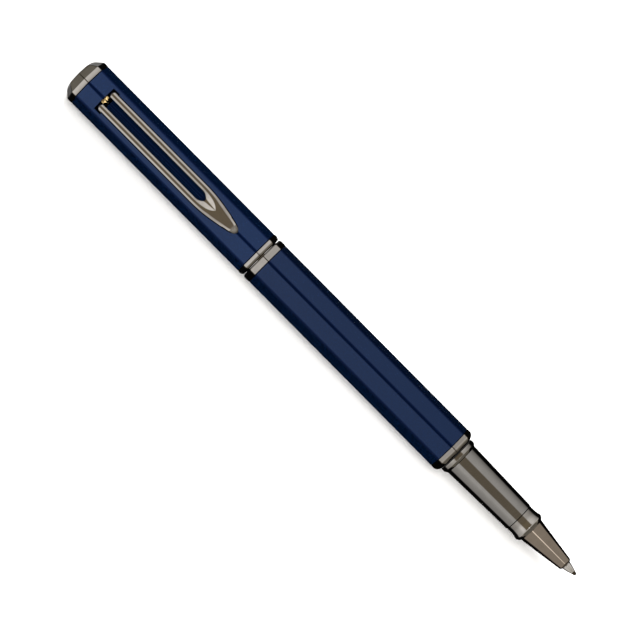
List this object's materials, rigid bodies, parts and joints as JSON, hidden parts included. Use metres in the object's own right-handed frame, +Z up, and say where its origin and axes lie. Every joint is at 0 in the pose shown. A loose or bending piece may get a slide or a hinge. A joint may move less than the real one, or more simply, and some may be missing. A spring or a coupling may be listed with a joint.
{
  "type": "rollerball pen",
  "caption": "Eight-sided lacquered rollerball pen with metal trim, lying on a flat, its sprung-clip cap posted on the tail and its writing end free.",
  "frame": {"origin": "under the middle of the posted pen's length, on the surface it lies on", "axes": "+X along the pen towards the writing point, +Z up, square to the flat of the barrel that the pen lies on; the clip is on top, leaning towards -Y"},
  "size_m": [0.1764, 0.0124, 0.0144],
  "materials": {
    "blue_lacquer": "deep blue high-gloss lacquer over brass",
    "gunmetal": "polished warm grey gunmetal plating",
    "brass": "turned brass",
    "steel": "turned stainless steel",
    "liner_plastic": "moulded plastic",
    "refill_plastic": "moulded plastic",
    "ink_fibre": "ink-soaked fibre",
    "black_rubber": "smooth black rubber"
  },
  "bodies": {
    "barrel": {"tail_post": "gunmetal", "tail_ring": "gunmetal", "tail_bush": "brass", "barrel_shell": "blue_lacquer", "barrel_front_bush": "brass", "barrel_front_ring": "gunmetal", "refill_spring": "steel"},
    "post_ring": {"post_ring": "black_rubber"},
    "cap": {"crown_finial": "gunmetal", "crown_screw": "steel", "cap_plug": "brass", "clip_bracket": "brass", "clip_pin": "steel", "clip_spring": "steel", "cap_shell": "blue_lacquer", "cap_liner": "liner_plastic", "cap_lip_ring": "gunmetal", "cap_snap_ring": "steel"},
    "clip": {"clip": "gunmetal"},
    "seal": {"section_seal": "black_rubber"},
    "section": {"section_collar": "gunmetal", "section_core": "brass", "grip_sleeve": "gunmetal", "flared_ring": "gunmetal", "nose_cone": "gunmetal"},
    "refill": {"refill_tube": "steel", "refill_plug": "refill_plastic", "ink_wick": "ink_fibre", "refill_feeder": "refill_plastic", "feed_rod": "ink_fibre", "writing_point": "steel"},
    "ball": {"writing_ball": "steel"}
  },
  "joints": [
    {"name": "cap_twist", "type": "hinge", "parent": "barrel", "child": "post_ring", "pos_m": [-0.028, 0, 0.00617], "axis": [1, 0, 0], "continuous": true},
    {"name": "cap_pull", "type": "slide", "parent": "post_ring", "child": "cap", "axis": [-1, 0, 0], "range_m": [0, 0.03]},
    {"name": "clip_lift", "type": "hinge", "parent": "cap", "child": "clip", "pos_m": [-0.0794, -0.00159, 0.00934], "axis": [0, -0.8942, -0.4478], "range_deg": [0, 3.5], "stiffness_Nm_per_rad": 1.2, "springref_deg": -14.32, "deforming": ["clip_spring"]},
    {"name": "section_advance", "type": "slide", "parent": "barrel", "child": "seal", "axis": [1, 0, 0], "range_m": [0, 0.0045], "deforming": ["refill_spring"]},
    {"name": "section_unscrew", "type": "hinge", "parent": "seal", "child": "section", "pos_m": [0.046, 0, 0.00617], "axis": [1, 0, 0], "range_deg": [0, 2160]},
    {"name": "refill_push", "type": "slide", "parent": "section", "child": "refill", "axis": [-1, 0, 0], "range_m": [0, 0.0008], "stiffness_N_per_m": 900, "springref_m": -0.0012, "deforming": ["refill_spring"]},
    {"name": "ball_roll", "type": "hinge", "parent": "refill", "child": "ball", "pos_m": [0.08785, 0, 0.00617], "axis": [0, 1, 0], "continuous": true}
  ],
  "couplings": [
    {"joint": "section_unscrew", "follows": "section_advance", "rad_per_m": 8377.6}
  ]
}
